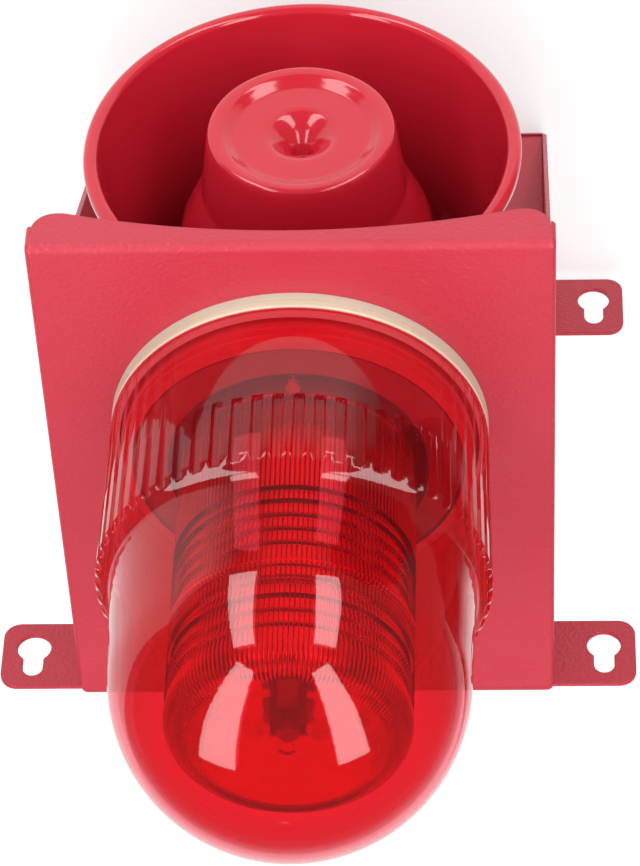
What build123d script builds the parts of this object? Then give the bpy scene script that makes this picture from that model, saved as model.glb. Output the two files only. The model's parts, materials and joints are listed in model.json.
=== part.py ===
from build123d import *
from math import radians, tan
import os

# Wall-mounted alarm siren with a beacon: folded sheet-steel housing, reentrant horn, red beacon.
# Frame: millimetres, +Z up, wall face of the back plate at y = 0, front towards -Y,
# origin at the centre of the back plate's wall face.

# ---------------------------------------------------------------- driving dimensions
# housing
WIDTH = 130.0            # across the side walls
HEIGHT = 160.0           # shelf top to box bottom
DEPTH = 170.0            # wall to the front of the shelf's lip
BOX_DEPTH = 60.0         # wall to the front of the electronics box
SHEET = 1.2              # steel thickness
SIDE_DROP = 8.0          # height of the side wall's front edge
SIDE_SHELF_RUN = 35.0    # level stretch of the side wall's lower edge behind the lip
LIP_CENTRE_DROP = 5.6    # lip height on the centre line
LIP_END_DROP = 12.5      # lip height where its arc ends
LIP_ARC_HALF = 56.0      # half width of the lip's arc
LIP_BEND = 2.2           # outer radius of the bend from shelf to lip
FLANGE = 10.0            # width of every return flange
TOP_Z = HEIGHT / 2
IN_X = WIDTH / 2 - SHEET
IN_TOP = TOP_Z - SHEET

# mounting lugs
LUG_HEIGHT = 22.5
LUG_REACH = 22.75
LUG_ROW = 67.5           # lug centre above and below the origin
KEY_X = 79.0
KEY_ENTRY_R = 4.7
KEY_SLOT_R = 2.8
KEY_ENTRY_DROP = 2.5     # entry circle below the lug's centre
KEY_RISE = 7.1           # entry circle centre to slot end centre

# horn, measured as distance out from the wall
HORN_Z = 13.0
MOUTH = 142.0
MOUTH_R = 57.2
BELL_BACK = 64.5         # rear face of the bell's back wall
HORN_FLANGE_R = 53.5
HORN_BOLT_R = 49.6
HORN_OPENING_R = 45.5
PLUG_FACE = 147.8
PLUG_R = 24.6
THROAT_R = 7.5

# beacon, heights above the shelf
BEACON_Y = -106.0
BEACON_R = 48.1
GASKET_T = 2.2
FLANGE_TOP = 4.7
NECK_TOP = 13.6
NECK_R = 44.5
COLLAR_TOP = 54.0
COLLAR_TOP_R = 49.0
GLOBE_BOTTOM = 4.9
GLOBE_BORE_R = 44.9
DOME_BASE_R = 45.0
DOME_R = 44.06
DOME_CENTRE = 84.0
GLOBE_WALL = 2.4
RIBS = 60
WINDOW_RIBS = 14         # short ribs under the plain window of the collar
WINDOW_ANGLE = -6.5      # middle of the window, degrees from the front towards +X
BASE_BOLT_R = 37.5
LED_BOARD = 11.6         # underside of the lamp board
LED_BOARD_T = 1.6
LED_BOARD_R = 41.4
STANDOFF_R = 36.0
LENS_BOTTOM = LED_BOARD + LED_BOARD_T
LENS_R = 30.0
LENS_TOP = 105.0
LENS_ROOF = 2.0
LENS_SCREW_R = 31.4
POST_TOP = 97.0
POST_HALF = 4.5

# electronics, measured as distance out from the wall
BOARD_OUT = 9.2
BOARD_T = 1.6
BOARD_W = 104.0
BOARD_H = 46.0
BOARD_Z = -45.0

horn_plane = Plane(origin=(0, 0, HORN_Z), x_dir=(0, -1, 0), z_dir=(-1, 0, 0))
horn_axis = Axis((0, 0, HORN_Z), (0, -1, 0))
beacon_plane = Plane(origin=(0, BEACON_Y, TOP_Z), x_dir=(1, 0, 0), z_dir=(0, -1, 0))
beacon_axis = Axis((0, BEACON_Y, TOP_Z), (0, 0, 1))


def facing(out, x=0.0, z=0.0):
    """Plane parallel to the wall, at a distance out from it, with its normal to the front."""
    return Plane(origin=(x, -out, z), x_dir=(1, 0, 0), z_dir=(0, -1, 0))


def above_shelf(height, x=0.0, y=BEACON_Y):
    """Level plane at a height above the shelf, centred on the beacon unless told otherwise."""
    return Plane(origin=(x, y, TOP_Z + height), x_dir=(1, 0, 0), z_dir=(0, 0, 1))


def save(part, name):
    part.label = name
    export_step(part, f"parts/{name}.step")


os.makedirs("parts", exist_ok=True)

# ================================================================ housing
plate_screw_spots = [(x, z) for x in (-58.5, 58.5) for z in (-70.0, 0.0, 70.0)]

with BuildPart() as housing_shell:
    with BuildSketch(Plane.YZ):
        with BuildLine():
            Polyline(
                (-SHEET, TOP_Z),
                (-DEPTH, TOP_Z),
                (-DEPTH, TOP_Z - SIDE_DROP),
                (-DEPTH + SIDE_SHELF_RUN, TOP_Z - SIDE_DROP),
                (-BOX_DEPTH, -TOP_Z),
                (-SHEET, -TOP_Z),
                close=True,
            )
        make_face()
        fillet(vertices().group_by(Axis.Y)[-1].sort_by(Axis.X)[0], radius=LIP_BEND)
    extrude(amount=WIDTH / 2, both=True)
    side_tops = housing_shell.edges().filter_by(Axis.Y).group_by(Axis.Z)[-1]
    fillet(side_tops, radius=1.4)
    side_bottoms = housing_shell.edges().filter_by(Axis.Y).group_by(Axis.Z)[0]
    fillet(side_bottoms, radius=2.5)
    # everything between the side walls, above the bottom sheet and below the shelf
    with BuildSketch(Plane.YZ):
        with BuildLine():
            Polyline(
                (0, IN_TOP),
                (-DEPTH + SHEET, IN_TOP),
                (-DEPTH + SHEET, TOP_Z - LIP_BEND),
                (-DEPTH - 5, TOP_Z - LIP_BEND),
                (-DEPTH - 5, -TOP_Z + SHEET),
                (0, -TOP_Z + SHEET),
                close=True,
            )
        make_face()
    extrude(amount=IN_X, both=True, mode=Mode.SUBTRACT)
    # front lip, its lower edge a shallow arc between two rounded corners
    with BuildSketch(facing(DEPTH - SHEET)):
        with BuildLine():
            corner = Line((IN_X, TOP_Z - LIP_BEND), (IN_X, TOP_Z - LIP_END_DROP))
            low_right = Line(corner @ 1, (LIP_ARC_HALF, TOP_Z - LIP_END_DROP))
            crown = ThreePointArc(
                low_right @ 1,
                (0, TOP_Z - LIP_CENTRE_DROP),
                (-LIP_ARC_HALF, TOP_Z - LIP_END_DROP),
            )
            low_left = Line(crown @ 1, (-IN_X, TOP_Z - LIP_END_DROP))
            Polyline(low_left @ 1, (-IN_X, TOP_Z - LIP_BEND), (IN_X, TOP_Z - LIP_BEND))
        make_face()
        lip_corners = vertices().group_by(Axis.Y)[0].sort_by(Axis.X)
        fillet([lip_corners[0], lip_corners[-1]], radius=6.0)
    extrude(amount=SHEET)
    # inward flanges that the back plate is screwed to
    with BuildSketch(facing(SHEET)):
        Rectangle(2 * IN_X, HEIGHT - 2 * SHEET)
        Rectangle(2 * (IN_X - FLANGE), HEIGHT - 2 * SHEET - 2 * FLANGE, mode=Mode.SUBTRACT)
    extrude(amount=SHEET)
    with BuildSketch(facing(SHEET)):
        with Locations(*plate_screw_spots):
            Circle(1.3)
    extrude(amount=SHEET, mode=Mode.SUBTRACT)
    # wire hole and screw holes under the beacon
    with BuildSketch(above_shelf(-SHEET)):
        Circle(9.0)
        with PolarLocations(BASE_BOLT_R, 3, start_angle=90):
            Circle(2.3)
    extrude(amount=SHEET, mode=Mode.SUBTRACT)
    # cable entry in the bottom
    with BuildSketch(Plane(origin=(40, -30, -TOP_Z), x_dir=(1, 0, 0), z_dir=(0, 0, 1))):
        Circle(6.5)
    extrude(amount=SHEET, mode=Mode.SUBTRACT)
save(housing_shell.part, "housing_shell")

with BuildPart() as box_front:
    with BuildSketch(facing(BOX_DEPTH - SHEET)):
        Rectangle(2 * IN_X - 0.2, HEIGHT - 2 * SHEET - 0.2)
    extrude(amount=SHEET)
    # return flanges towards the wall, against the shelf, the side walls and the bottom
    with BuildSketch(facing(BOX_DEPTH - SHEET - FLANGE)):
        Rectangle(2 * IN_X - 0.2, HEIGHT - 2 * SHEET - 0.2)
        Rectangle(2 * IN_X - 0.2 - 2 * SHEET, HEIGHT - 4 * SHEET - 0.2, mode=Mode.SUBTRACT)
    extrude(amount=FLANGE)
    with BuildSketch(facing(BOX_DEPTH - SHEET, z=HORN_Z)):
        Circle(HORN_OPENING_R)
        with PolarLocations(HORN_BOLT_R, 4, start_angle=45):
            Circle(2.2)
    extrude(amount=SHEET, mode=Mode.SUBTRACT)
    with BuildSketch(facing(BOX_DEPTH - SHEET, x=30, z=70)):
        Circle(4.0)
    extrude(amount=SHEET, mode=Mode.SUBTRACT)
save(box_front.part, "box_front")

with BuildPart() as back_plate:
    with BuildSketch(facing(0)):
        RectangleRounded(WIDTH, HEIGHT, 2.0)
        for row in (-LUG_ROW, LUG_ROW):
            with Locations((0, row)):
                RectangleRounded(WIDTH + 2 * LUG_REACH, LUG_HEIGHT, 4.8)
        # keyholes, narrow end upwards
        for row in (-LUG_ROW, LUG_ROW):
            with Locations((-KEY_X, row - KEY_ENTRY_DROP), (KEY_X, row - KEY_ENTRY_DROP)):
                Circle(KEY_ENTRY_R, mode=Mode.SUBTRACT)
            with Locations(
                (-KEY_X, row - KEY_ENTRY_DROP + KEY_RISE / 2),
                (KEY_X, row - KEY_ENTRY_DROP + KEY_RISE / 2),
            ):
                SlotCenterToCenter(KEY_RISE, 2 * KEY_SLOT_R, rotation=90, mode=Mode.SUBTRACT)
        with Locations(*plate_screw_spots):
            Circle(1.6, mode=Mode.SUBTRACT)
    extrude(amount=SHEET)
    screw_rims = back_plate.faces().sort_by(Axis.Y)[-1].edges().filter_by(GeomType.CIRCLE)
    chamfer([rim for rim in screw_rims if abs(rim.radius - 1.6) < 0.01], length=0.9)
save(back_plate.part, "back_plate")

with BuildPart() as plate_screws:
    on_its_base = (Align.CENTER, Align.CENTER, Align.MIN)
    with Locations(*[facing(0, x, z) for x, z in plate_screw_spots]):
        Cone(2.45, 1.25, 1.2, align=on_its_base)
        Cylinder(1.25, 6.0, align=on_its_base)
save(plate_screws.part, "plate_screws")

# ================================================================ horn
BELL_WALL = 2.2
BELL_FLOOR = 67.0        # inner face of the bell's back wall
BELL_BACK_R = 43.0
CUP_WALL = 2.0
CUP_BACK = 80.0          # open rear edge of the cup
CUP_BACK_R = 36.0
DISH = 2.1               # how far the cup's face is dished behind its raised rim
LEG_R = 34.0             # circle of the cup's three legs
EAR_R = 38.8             # circle of the driver cover's four screws

with BuildPart() as horn_bell:
    with BuildSketch(horn_plane):
        with BuildLine():
            inner = Spline(
                (MOUTH - 2.0, MOUTH_R - 4.0),
                (112, 47.4),
                (BELL_FLOOR + 3, BELL_BACK_R),
                tangents=((-1, -0.35), (-1, -0.02)),
            )
            Line(inner @ 1, (BELL_FLOOR, BELL_BACK_R - 3))
            Polyline(
                (BELL_FLOOR, BELL_BACK_R - 3),
                (BELL_FLOOR, THROAT_R + 2.0),
                (BELL_BACK, THROAT_R + 2.0),
                (BELL_BACK, HORN_OPENING_R - 1.5),
                (BELL_BACK - 3.0, HORN_OPENING_R - 1.5),
                (BELL_BACK - 3.0, HORN_FLANGE_R),
                (BELL_BACK, HORN_FLANGE_R),
                (BELL_BACK, BELL_BACK_R + BELL_WALL + 0.5),
            )
            outer = Spline(
                (BELL_BACK, BELL_BACK_R + BELL_WALL + 0.5),
                (112, 47.4 + BELL_WALL),
                (MOUTH - 5.0, MOUTH_R - 1.6),
                tangents=((1, 0.02), (1, 0.4)),
            )
            # rolled rim of the mouth
            Polyline(outer @ 1, (MOUTH - 2.4, MOUTH_R))
            rim_edge = Line((MOUTH - 2.4, MOUTH_R), (MOUTH - 1.3, MOUTH_R))
            rim_nose = ThreePointArc(rim_edge @ 1, (MOUTH, MOUTH_R - 2.0), inner @ 0)
        make_face()
    revolve(axis=horn_axis)
    # screw holes of the flange, and of the cup's three legs
    with BuildSketch(facing(BELL_BACK - 3.0, z=HORN_Z)):
        with PolarLocations(HORN_BOLT_R, 4, start_angle=45):
            Circle(2.2)
    extrude(amount=4.5, mode=Mode.SUBTRACT)
    with BuildSketch(facing(BELL_BACK, z=HORN_Z)):
        with PolarLocations(LEG_R, 3, start_angle=90):
            Circle(1.6)
        with PolarLocations(EAR_R, 4, start_angle=45):
            Circle(1.3)
    extrude(amount=BELL_FLOOR - BELL_BACK, mode=Mode.SUBTRACT)
save(horn_bell.part, "horn_bell")

with BuildPart() as horn_cup:
    with BuildSketch(horn_plane):
        with BuildLine():
            # outside, from the open rear edge to the face
            flare = Spline(
                (CUP_BACK, CUP_BACK_R),
                (112, 33.6),
                (PLUG_FACE - 20.0, PLUG_R + 2.4),
                tangents=((1, -0.04), (1, -0.3)),
            )
            side = Line(flare @ 1, (PLUG_FACE - 1.6, PLUG_R))
            nose = ThreePointArc(side @ 1, (PLUG_FACE - 0.4, PLUG_R - 0.5), (PLUG_FACE, PLUG_R - 1.6))
            rim = Line(nose @ 1, (PLUG_FACE - 0.2, PLUG_R - 3.6))
            step = Spline(
                rim @ 1,
                (PLUG_FACE - DISH / 2, PLUG_R - 5.0),
                (PLUG_FACE - DISH, PLUG_R - 6.6),
                tangents=((0, -1), (0, -1)),
            )
            floor_line = Line(step @ 1, (PLUG_FACE - DISH, 10.2))
            dimple = Spline(
                floor_line @ 1,
                (PLUG_FACE - DISH - 2.6, 5.4),
                (PLUG_FACE - DISH - 7.6, 1.6),
                tangents=((0, -1), (-1, -0.12)),
            )
            Polyline(
                dimple @ 1,
                (PLUG_FACE - DISH - 8.4, 1.0),
                (PLUG_FACE - DISH - 8.4, 0.0),
                (PLUG_FACE - DISH - 10.4, 0.0),
                (PLUG_FACE - DISH - 10.4, 3.2),
                (PLUG_FACE - DISH - 3.6, 7.6),
                (PLUG_FACE - DISH - 2.2, 12.0),
                (PLUG_FACE - DISH - 2.2, PLUG_R - 3.6),
                (PLUG_FACE - 20.0, PLUG_R + 2.4 - CUP_WALL),
            )
            bore = Spline(
                (PLUG_FACE - 20.0, PLUG_R + 2.4 - CUP_WALL),
                (112, 33.6 - CUP_WALL),
                (CUP_BACK, CUP_BACK_R - CUP_WALL),
                tangents=((-1, 0.3), (-1, 0.04)),
            )
            Line(bore @ 1, flare @ 0)
        make_face()
    revolve(axis=horn_axis)
    # three legs that stand on the bell's back wall
    with BuildSketch(facing(BELL_FLOOR, z=HORN_Z)):
        with PolarLocations(LEG_R, 3, start_angle=90):
            Rectangle(7.0, 3.0)
            Circle(2.7)
    extrude(amount=CUP_BACK - BELL_FLOOR + 2.0)
    with BuildSketch(facing(BELL_FLOOR, z=HORN_Z)):
        with PolarLocations(LEG_R, 3, start_angle=90):
            Circle(1.25)
    extrude(amount=8.0, mode=Mode.SUBTRACT)
save(horn_cup.part, "horn_cup")

with BuildPart() as throat_tube:
    with BuildSketch(horn_plane):
        with BuildLine():
            Polyline(
                (BELL_BACK, THROAT_R),
                (BELL_BACK, THROAT_R + 2.0),
                (BELL_FLOOR, THROAT_R + 2.0),
                (BELL_FLOOR, THROAT_R + 6.0),
                (BELL_FLOOR + 2.0, THROAT_R + 6.0),
                (BELL_FLOOR + 2.0, THROAT_R + 2.0),
                (BELL_FLOOR + 6.0, THROAT_R + 1.8),
                (126.0, 17.6),
                (126.0, 16.0),
                (BELL_FLOOR + 6.0, THROAT_R),
                close=True,
            )
        make_face()
    revolve(axis=horn_axis)
save(throat_tube.part, "throat_tube")

with BuildPart() as horn_gasket:
    with BuildSketch(facing(BOX_DEPTH, z=HORN_Z)):
        Circle(HORN_FLANGE_R)
        Circle(HORN_OPENING_R, mode=Mode.SUBTRACT)
        with PolarLocations(HORN_BOLT_R, 4, start_angle=45):
            Circle(2.2, mode=Mode.SUBTRACT)
    extrude(amount=BELL_BACK - 3.0 - BOX_DEPTH)
save(horn_gasket.part, "horn_gasket")

with BuildPart() as horn_screws:
    with BuildSketch(facing(BELL_BACK, z=HORN_Z)):
        with PolarLocations(HORN_BOLT_R, 4, start_angle=45):
            Circle(3.3)
    extrude(amount=2.4)
    with BuildSketch(facing(BOX_DEPTH - SHEET - 4.2, z=HORN_Z)):
        with PolarLocations(HORN_BOLT_R, 4, start_angle=45):
            Circle(2.0)
    extrude(amount=BELL_BACK - BOX_DEPTH + SHEET + 4.2)
save(horn_screws.part, "horn_screws")

with BuildPart() as horn_nuts:
    with BuildSketch(facing(BOX_DEPTH - SHEET - 3.2, z=HORN_Z)):
        with PolarLocations(HORN_BOLT_R, 4, start_angle=45):
            RegularPolygon(3.5, 6, major_radius=False)
            Circle(2.0, mode=Mode.SUBTRACT)
    extrude(amount=3.2)
save(horn_nuts.part, "horn_nuts")

with BuildPart() as cup_screws:
    with BuildSketch(facing(BELL_BACK - 2.0, z=HORN_Z)):
        with PolarLocations(LEG_R, 3, start_angle=90):
            Circle(2.7)
    extrude(amount=2.0)
    with BuildSketch(facing(BELL_BACK, z=HORN_Z)):
        with PolarLocations(LEG_R, 3, start_angle=90):
            Circle(1.25)
    extrude(amount=9.0)
save(cup_screws.part, "cup_screws")

# ================================================================ horn driver, inside the box
DRIVER_FRONT = 62.0      # front face of the driver's throat plate
COVER_R = 31.0
COVER_BACK = 27.5

with BuildPart() as throat_plate:
    with BuildSketch(facing(57.0, z=HORN_Z)):
        Circle(29.5)
        Circle(16.5, mode=Mode.SUBTRACT)
    extrude(amount=DRIVER_FRONT - 57.0 - 2.5)
    with BuildSketch(facing(DRIVER_FRONT - 2.5, z=HORN_Z)):
        Circle(29.5)
        Circle(THROAT_R, mode=Mode.SUBTRACT)
    extrude(amount=2.5)
    with BuildSketch(facing(DRIVER_FRONT, z=HORN_Z)):
        Circle(THROAT_R + 3.0)
        Circle(THROAT_R, mode=Mode.SUBTRACT)
    extrude(amount=BELL_BACK - DRIVER_FRONT)
save(throat_plate.part, "throat_plate")

with BuildPart() as diaphragm:
    with BuildSketch(horn_plane):
        with BuildLine():
            crown_out = CenterArc((35.15, 0), 23.85, 0, 31.9)
            Polyline(crown_out @ 1, (55.4, 15.6), (55.0, 15.6), (55.0, 12.5))
            crown_in = CenterArc((35.15, 0), 23.45, 0, 32.2)
            Line(crown_in @ 1, (55.0, 12.5))
            Line(crown_in @ 0, crown_out @ 0)
        make_face()
    revolve(axis=horn_axis)
save(diaphragm.part, "diaphragm")

with BuildPart() as voice_coil:
    with BuildSketch(facing(46.0, z=HORN_Z)):
        Circle(12.9)
        Circle(12.4, mode=Mode.SUBTRACT)
    extrude(amount=9.0)
save(voice_coil.part, "voice_coil")

with BuildPart() as driver_spacer:
    with BuildSketch(facing(53.0, z=HORN_Z)):
        Circle(29.5)
        Circle(16.5, mode=Mode.SUBTRACT)
    extrude(amount=4.0)
save(driver_spacer.part, "driver_spacer")

with BuildPart() as driver_top_plate:
    with BuildSketch(facing(49.0, z=HORN_Z)):
        Circle(28.0)
        Circle(13.3, mode=Mode.SUBTRACT)
    extrude(amount=4.0)
save(driver_top_plate.part, "driver_top_plate")

with BuildPart() as driver_magnet:
    with BuildSketch(facing(37.0, z=HORN_Z)):
        Circle(29.5)
        Circle(15.5, mode=Mode.SUBTRACT)
    extrude(amount=12.0)
save(driver_magnet.part, "driver_magnet")

with BuildPart() as driver_yoke:
    with BuildSketch(facing(32.0, z=HORN_Z)):
        Circle(28.0)
    extrude(amount=5.0)
    with BuildSketch(facing(37.0, z=HORN_Z)):
        Circle(12.0)
    extrude(amount=16.0)
save(driver_yoke.part, "driver_yoke")

with BuildPart() as driver_cover:
    with BuildSketch(facing(COVER_BACK, z=HORN_Z)):
        Circle(COVER_R + 1.5)
    extrude(amount=BELL_BACK - COVER_BACK)
    with BuildSketch(facing(COVER_BACK + 4.5, z=HORN_Z)):
        Circle(COVER_R - 1.5)
    extrude(amount=BELL_BACK - COVER_BACK - 4.5, mode=Mode.SUBTRACT)
    with BuildSketch(facing(COVER_BACK, z=HORN_Z)):
        Circle(COVER_R - 4.0)
    extrude(amount=2.5, mode=Mode.SUBTRACT)
    # four ears, each with a screw hole
    with BuildSketch(facing(BELL_BACK - 6.0, z=HORN_Z)):
        with PolarLocations(EAR_R - 5.0, 4, start_angle=45):
            Rectangle(10.0, 9.0)
        with PolarLocations(EAR_R, 4, start_angle=45):
            Circle(4.5)
        Circle(COVER_R, mode=Mode.SUBTRACT)
    extrude(amount=6.0)
    with BuildSketch(facing(BELL_BACK - 6.0, z=HORN_Z)):
        with PolarLocations(EAR_R, 4, start_angle=45):
            Circle(1.6)
        # clearance over the heads of the cup's screws
        with PolarLocations(LEG_R, 3, start_angle=90):
            Circle(3.1)
    extrude(amount=6.0, mode=Mode.SUBTRACT)
save(driver_cover.part, "driver_cover")

with BuildPart() as driver_screws:
    with BuildSketch(facing(BELL_BACK - 8.0, z=HORN_Z)):
        with PolarLocations(EAR_R, 4, start_angle=45):
            Circle(2.7)
    extrude(amount=2.0)
    with BuildSketch(facing(BELL_BACK - 6.0, z=HORN_Z)):
        with PolarLocations(EAR_R, 4, start_angle=45):
            Circle(1.3)
    extrude(amount=8.2)
save(driver_screws.part, "driver_screws")

# ================================================================ beacon
with BuildPart() as base_gasket:
    with BuildSketch(above_shelf(0)):
        Circle(BEACON_R)
        Circle(BEACON_R - 14.0, mode=Mode.SUBTRACT)
        with PolarLocations(BASE_BOLT_R, 3, start_angle=90):
            Circle(2.3, mode=Mode.SUBTRACT)
    extrude(amount=GASKET_T)
save(base_gasket.part, "base_gasket")

with BuildPart() as beacon_base:
    with BuildSketch(above_shelf(GASKET_T)):
        Circle(BEACON_R)
    extrude(amount=FLANGE_TOP - GASKET_T)
    rims = beacon_base.edges().filter_by(GeomType.CIRCLE).group_by(Axis.Z)[-1]
    fillet(rims, radius=0.5)
    with BuildSketch(above_shelf(FLANGE_TOP)):
        Circle(NECK_R)
        Circle(NECK_R - 2.4, mode=Mode.SUBTRACT)
    extrude(amount=NECK_TOP - FLANGE_TOP)
    with BuildSketch(above_shelf(FLANGE_TOP)):
        with PolarLocations(BASE_BOLT_R, 3, start_angle=90):
            Circle(3.8)
    extrude(amount=6.2)
    with BuildSketch(above_shelf(GASKET_T)):
        Circle(7.0)
        with PolarLocations(BASE_BOLT_R, 3, start_angle=90):
            Circle(1.7)
    extrude(amount=7.5, mode=Mode.SUBTRACT)
save(beacon_base.part, "beacon_base")

with BuildPart() as base_screws:
    with BuildSketch(above_shelf(-SHEET - 2.4)):
        with PolarLocations(BASE_BOLT_R, 3, start_angle=90):
            Circle(3.4)
    extrude(amount=2.4)
    with BuildSketch(above_shelf(-SHEET)):
        with PolarLocations(BASE_BOLT_R, 3, start_angle=90):
            Circle(1.7)
    extrude(amount=10.5)
save(base_screws.part, "base_screws")

with BuildPart() as globe_seal:
    with BuildSketch(above_shelf(FLANGE_TOP + 0.05)):
        Circle(46.9)
        Circle(45.7, mode=Mode.SUBTRACT)
    extrude(amount=1.4)
save(globe_seal.part, "globe_seal")

with BuildPart() as globe:
    with BuildSketch(beacon_plane):
        with BuildLine():
            Polyline(
                (GLOBE_BORE_R, GLOBE_BOTTOM),
                (BEACON_R, GLOBE_BOTTOM),
                (COLLAR_TOP_R, COLLAR_TOP),
                (COLLAR_TOP_R - 1.0, COLLAR_TOP + 0.6),
                (DOME_BASE_R + 0.6, COLLAR_TOP + 5.2),
                (DOME_BASE_R - 0.1, COLLAR_TOP + 7.5),
                (DOME_R, DOME_CENTRE),
            )
            CenterArc((0, DOME_CENTRE), DOME_R, 0, 90)
            Line((0, DOME_CENTRE + DOME_R), (0, DOME_CENTRE + DOME_R - GLOBE_WALL))
            inside_r = DOME_R - GLOBE_WALL
            CenterArc((0, DOME_CENTRE), inside_r, 0, 90)
            Polyline(
                (inside_r, DOME_CENTRE),
                (DOME_BASE_R - GLOBE_WALL, COLLAR_TOP + 3.0),
                (GLOBE_BORE_R, COLLAR_TOP - 2.0),
                (GLOBE_BORE_R, GLOBE_BOTTOM),
            )
        make_face()
    revolve(axis=beacon_axis)
    # grip grooves: long ones round most of the collar, short ones under the plain window
    pitch = 360 / RIBS
    window_start = -90 + WINDOW_ANGLE - (WINDOW_RIBS - 1) * pitch / 2
    with BuildSketch(above_shelf(GLOBE_BOTTOM + 1.4)):
        with PolarLocations(
            COLLAR_TOP_R,
            RIBS - WINDOW_RIBS,
            start_angle=window_start + WINDOW_RIBS * pitch,
            angular_range=(RIBS - WINDOW_RIBS) * pitch,
        ):
            Rectangle(2.6, 2.5)
    extrude(amount=COLLAR_TOP, mode=Mode.SUBTRACT)
    with BuildSketch(above_shelf(34.8)):
        with PolarLocations(
            COLLAR_TOP_R,
            WINDOW_RIBS,
            start_angle=window_start,
            angular_range=WINDOW_RIBS * pitch,
        ):
            Rectangle(2.6, 2.5)
    extrude(amount=COLLAR_TOP, mode=Mode.SUBTRACT)
    # groove in the bottom face that carries the sealing ring
    with BuildSketch(above_shelf(GLOBE_BOTTOM)):
        Circle(46.95)
        Circle(45.65, mode=Mode.SUBTRACT)
    extrude(amount=1.6, mode=Mode.SUBTRACT)
save(globe.part, "globe")

with BuildPart() as fresnel_lens:
    with BuildSketch(above_shelf(LENS_BOTTOM)):
        Circle(33.0)
        Circle(LENS_R - 2.0, mode=Mode.SUBTRACT)
        with PolarLocations(LENS_SCREW_R, 3, start_angle=30):
            Circle(1.1, mode=Mode.SUBTRACT)
    extrude(amount=2.0)
    with BuildSketch(above_shelf(LENS_BOTTOM + 2.0)):
        Circle(LENS_R)
        Circle(LENS_R - 2.0, mode=Mode.SUBTRACT)
        with PolarLocations(LENS_SCREW_R, 3, start_angle=30):
            Circle(2.0, mode=Mode.SUBTRACT)
    extrude(amount=LENS_TOP - LENS_BOTTOM - 2.0)
    with BuildSketch(above_shelf(LENS_TOP - LENS_ROOF)):
        Circle(LENS_R - 0.5)
    extrude(amount=LENS_ROOF)
    # ledge between the two rows of prisms
    with BuildSketch(above_shelf(72.0)):
        Circle(LENS_R + 1.0)
        Circle(LENS_R - 0.5, mode=Mode.SUBTRACT)
    extrude(amount=1.6)
save(fresnel_lens.part, "fresnel_lens")

with BuildPart() as lens_screws:
    with BuildSketch(above_shelf(LED_BOARD - 1.5)):
        with PolarLocations(LENS_SCREW_R, 3, start_angle=30):
            Circle(1.1)
    extrude(amount=LED_BOARD_T + 3.5)
    with BuildSketch(above_shelf(LENS_BOTTOM + 2.0)):
        with PolarLocations(LENS_SCREW_R, 3, start_angle=30):
            Circle(1.9)
    extrude(amount=1.5)
save(lens_screws.part, "lens_screws")

with BuildPart() as led_standoffs:
    with BuildSketch(above_shelf(FLANGE_TOP)):
        with PolarLocations(STANDOFF_R, 3, start_angle=150):
            Circle(2.5)
    extrude(amount=LED_BOARD - FLANGE_TOP)
save(led_standoffs.part, "led_standoffs")

with BuildPart() as led_board:
    with BuildSketch(above_shelf(LED_BOARD)):
        Circle(LED_BOARD_R)
        with PolarLocations(LENS_SCREW_R, 3, start_angle=30):
            Circle(1.1, mode=Mode.SUBTRACT)
    extrude(amount=LED_BOARD_T)
save(led_board.part, "led_board")

with BuildPart() as led_post:
    with BuildSketch(above_shelf(LED_BOARD + LED_BOARD_T)):
        Rectangle(2 * POST_HALF, 2 * POST_HALF)
        Rectangle(2 * POST_HALF - 2.4, 2 * POST_HALF - 2.4, mode=Mode.SUBTRACT)
    extrude(amount=POST_TOP - LED_BOARD - 2 * LED_BOARD_T)
    with BuildSketch(above_shelf(POST_TOP - LED_BOARD_T)):
        Rectangle(2 * POST_HALF, 2 * POST_HALF)
    extrude(amount=LED_BOARD_T)
save(led_post.part, "led_post")

with BuildPart() as leds:
    for level in range(6):
        height = 29.0 + 12.5 * level
        for turn in range(4):
            spot = Plane(
                origin=(0, BEACON_Y, TOP_Z + height),
                x_dir=(0, 0, 1),
                z_dir=Vector(1, 0, 0).rotate(Axis.Z, 90 * turn),
            ).offset(POST_HALF)
            with BuildSketch(spot):
                Rectangle(5.0, 5.0)
            extrude(amount=1.6)
    with BuildSketch(above_shelf(POST_TOP)):
        Circle(2.5)
    extrude(amount=3.0)
save(leds.part, "leds")

# ================================================================ electronics
with BuildPart() as circuit_board:
    with BuildSketch(facing(BOARD_OUT, z=BOARD_Z)):
        Rectangle(BOARD_W, BOARD_H)
        with GridLocations(BOARD_W - 8, BOARD_H - 8, 2, 2):
            Circle(1.7, mode=Mode.SUBTRACT)
    extrude(amount=BOARD_T)
save(circuit_board.part, "circuit_board")

with BuildPart() as board_standoffs:
    with BuildSketch(facing(SHEET, z=BOARD_Z)):
        with GridLocations(BOARD_W - 8, BOARD_H - 8, 2, 2):
            RegularPolygon(2.9, 6)
            Circle(1.25, mode=Mode.SUBTRACT)
    extrude(amount=BOARD_OUT - SHEET)
save(board_standoffs.part, "board_standoffs")

BOARD_FRONT = BOARD_OUT + BOARD_T

with BuildPart() as board_screws:
    with BuildSketch(facing(BOARD_FRONT - 6.0, z=BOARD_Z)):
        with GridLocations(BOARD_W - 8, BOARD_H - 8, 2, 2):
            Circle(1.25)
    extrude(amount=6.0)
    with BuildSketch(facing(BOARD_FRONT, z=BOARD_Z)):
        with GridLocations(BOARD_W - 8, BOARD_H - 8, 2, 2):
            Circle(2.6)
    extrude(amount=1.9)
save(board_screws.part, "board_screws")

with BuildPart() as transformer_core:
    with BuildSketch(facing(BOARD_FRONT, x=-24, z=BOARD_Z)):
        Rectangle(26.0, 22.0)
    extrude(amount=20.0)
    with BuildSketch(facing(BOARD_FRONT, x=-24, z=BOARD_Z)):
        with Locations((-7.5, 0), (7.5, 0)):
            Rectangle(7.0, 22.0)
    extrude(amount=16.0, mode=Mode.SUBTRACT)
save(transformer_core.part, "transformer_core")

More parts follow.
